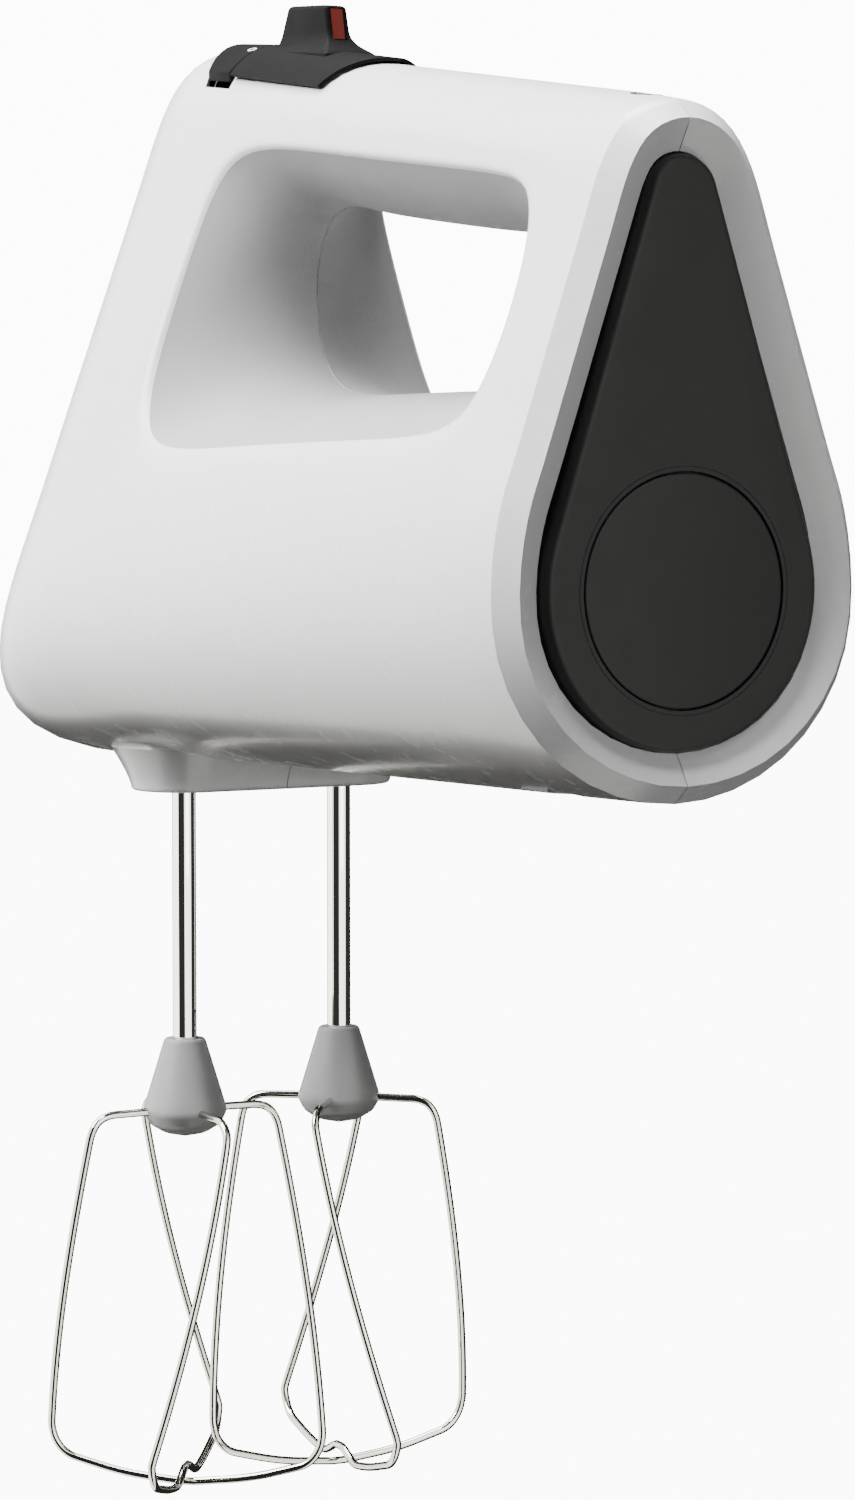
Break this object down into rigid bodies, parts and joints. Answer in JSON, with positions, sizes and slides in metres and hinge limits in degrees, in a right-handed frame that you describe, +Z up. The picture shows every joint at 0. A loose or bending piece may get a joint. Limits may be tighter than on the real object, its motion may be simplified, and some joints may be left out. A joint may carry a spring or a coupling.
{
  "type": "hand mixer",
  "caption": "Upright hand mixer with an enclosed hand grip, a flat teardrop rear end and two intermeshing wire whisks under its nose.",
  "frame": {"origin": "centre of the round disc on the flat rear end, on its outer face", "axes": "+Y from the rear end to the nose, +X to the user's right, +Z up; the whisks hang along -Z"},
  "size_m": [0.1036, 0.2016, 0.3166],
  "materials": {
    "housing_white": "gloss moulded shell",
    "control_dark": "satin moulded",
    "plate_dark": "satin moulded, very fine grain",
    "marker_red": "inlaid marker",
    "collar_grey": "satin moulded",
    "whisk_chrome": "polished chrome on steel",
    "gland_rubber": "matte grommet",
    "inner_steel": "ground and plated steel",
    "laminated_iron": "stacked laminations",
    "copper": "enamelled copper",
    "bronze": "sintered bronze",
    "carbon": "pressed carbon",
    "circuit_board": "lacquered board",
    "inner_grey": "plain moulded",
    "inner_dark": "plain moulded"
  },
  "bodies": {
    "housing": {"left_housing": "housing_white", "right_housing": "housing_white", "rear_plate": "plate_dark", "rear_disc": "plate_dark", "rear_frame": "inner_dark", "rear_screw_1": "inner_steel", "rear_screw_2": "inner_steel", "rear_screw_3": "inner_steel", "rear_screw_4": "inner_steel", "speed_board": "circuit_board", "speed_switch": "inner_dark", "terminal_block": "inner_grey", "cord_clamp": "inner_grey", "cord_gland": "gland_rubber", "vent_insert": "inner_dark", "motor_cradle": "inner_grey", "front_bracket": "inner_steel", "rear_bracket": "inner_steel", "front_bearing": "bronze", "rear_bearing": "bronze", "gear_frame": "inner_grey", "left_upper_bush": "bronze", "left_lower_bush": "bronze", "right_upper_bush": "bronze", "right_lower_bush": "bronze", "stator_core": "laminated_iron", "upper_field_coil": "copper", "lower_field_coil": "copper", "left_brush_holder": "inner_dark", "left_carbon_brush": "carbon", "left_brush_spring": "inner_steel", "right_brush_holder": "inner_dark", "right_carbon_brush": "carbon", "right_brush_spring": "inner_steel", "ejector_spring": "inner_steel"},
    "rotor": {"motor_shaft": "inner_steel", "worm": "bronze", "armature_core": "laminated_iron", "armature_winding": "copper", "commutator": "copper", "cooling_fan": "inner_dark"},
    "ejector": {"eject_button": "control_dark", "ejector_rod": "inner_steel", "ejector_yoke": "inner_dark"},
    "selector": {"speed_selector": "control_dark", "indicator_strip": "marker_red"},
    "left_drive": {"left_spindle": "inner_steel", "left_worm_wheel": "inner_grey"},
    "left_pin": {"left_push_pin": "inner_steel"},
    "left_whisk": {"left_whisk_shaft": "whisk_chrome", "left_whisk_collar": "collar_grey", "left_whisk_loop_a": "whisk_chrome", "left_whisk_loop_b": "whisk_chrome"},
    "right_drive": {"right_spindle": "inner_steel", "right_worm_wheel": "inner_grey"},
    "right_pin": {"right_push_pin": "inner_steel"},
    "right_whisk": {"right_whisk_shaft": "whisk_chrome", "right_whisk_collar": "collar_grey", "right_whisk_loop_a": "whisk_chrome", "right_whisk_loop_b": "whisk_chrome"}
  },
  "joints": [
    {"name": "rotor_spin", "type": "hinge", "parent": "housing", "child": "rotor", "pos_m": [0, 0.1, 0], "axis": [0, 1, 0], "continuous": true},
    {"name": "eject_press", "type": "slide", "parent": "housing", "child": "ejector", "axis": [0, 0, -1], "range_m": [0, 0.0045], "stiffness_N_per_m": 900, "springref_m": -0.003, "deforming": ["ejector_spring"]},
    {"name": "selector_turn", "type": "hinge", "parent": "housing", "child": "selector", "pos_m": [0, 0.134, 0.09222], "axis": [0, 0.9913, 0.1318], "range_deg": [-8, 26]},
    {"name": "left_drive_spin", "type": "hinge", "parent": "housing", "child": "left_drive", "pos_m": [-0.019, 0.1632, 0], "axis": [0, 0, 1], "continuous": true},
    {"name": "left_pin_push", "type": "slide", "parent": "left_drive", "child": "left_pin", "axis": [0, 0, -1], "range_m": [0, 0.0045]},
    {"name": "left_whisk_release", "type": "slide", "parent": "left_pin", "child": "left_whisk", "axis": [0, 0, -1], "range_m": [0, 0.036]},
    {"name": "right_drive_spin", "type": "hinge", "parent": "housing", "child": "right_drive", "pos_m": [0.019, 0.1632, 0], "axis": [0, 0, 1], "continuous": true},
    {"name": "right_pin_push", "type": "slide", "parent": "right_drive", "child": "right_pin", "axis": [0, 0, -1], "range_m": [0, 0.0045]},
    {"name": "right_whisk_release", "type": "slide", "parent": "right_pin", "child": "right_whisk", "axis": [0, 0, -1], "range_m": [0, 0.036]}
  ],
  "couplings": [
    {"joint": "left_drive_spin", "follows": "rotor_spin", "ratio": -0.066667},
    {"joint": "left_pin_push", "follows": "eject_press", "ratio": 1},
    {"joint": "right_drive_spin", "follows": "rotor_spin", "ratio": 0.066667},
    {"joint": "right_pin_push", "follows": "eject_press", "ratio": 1}
  ]
}
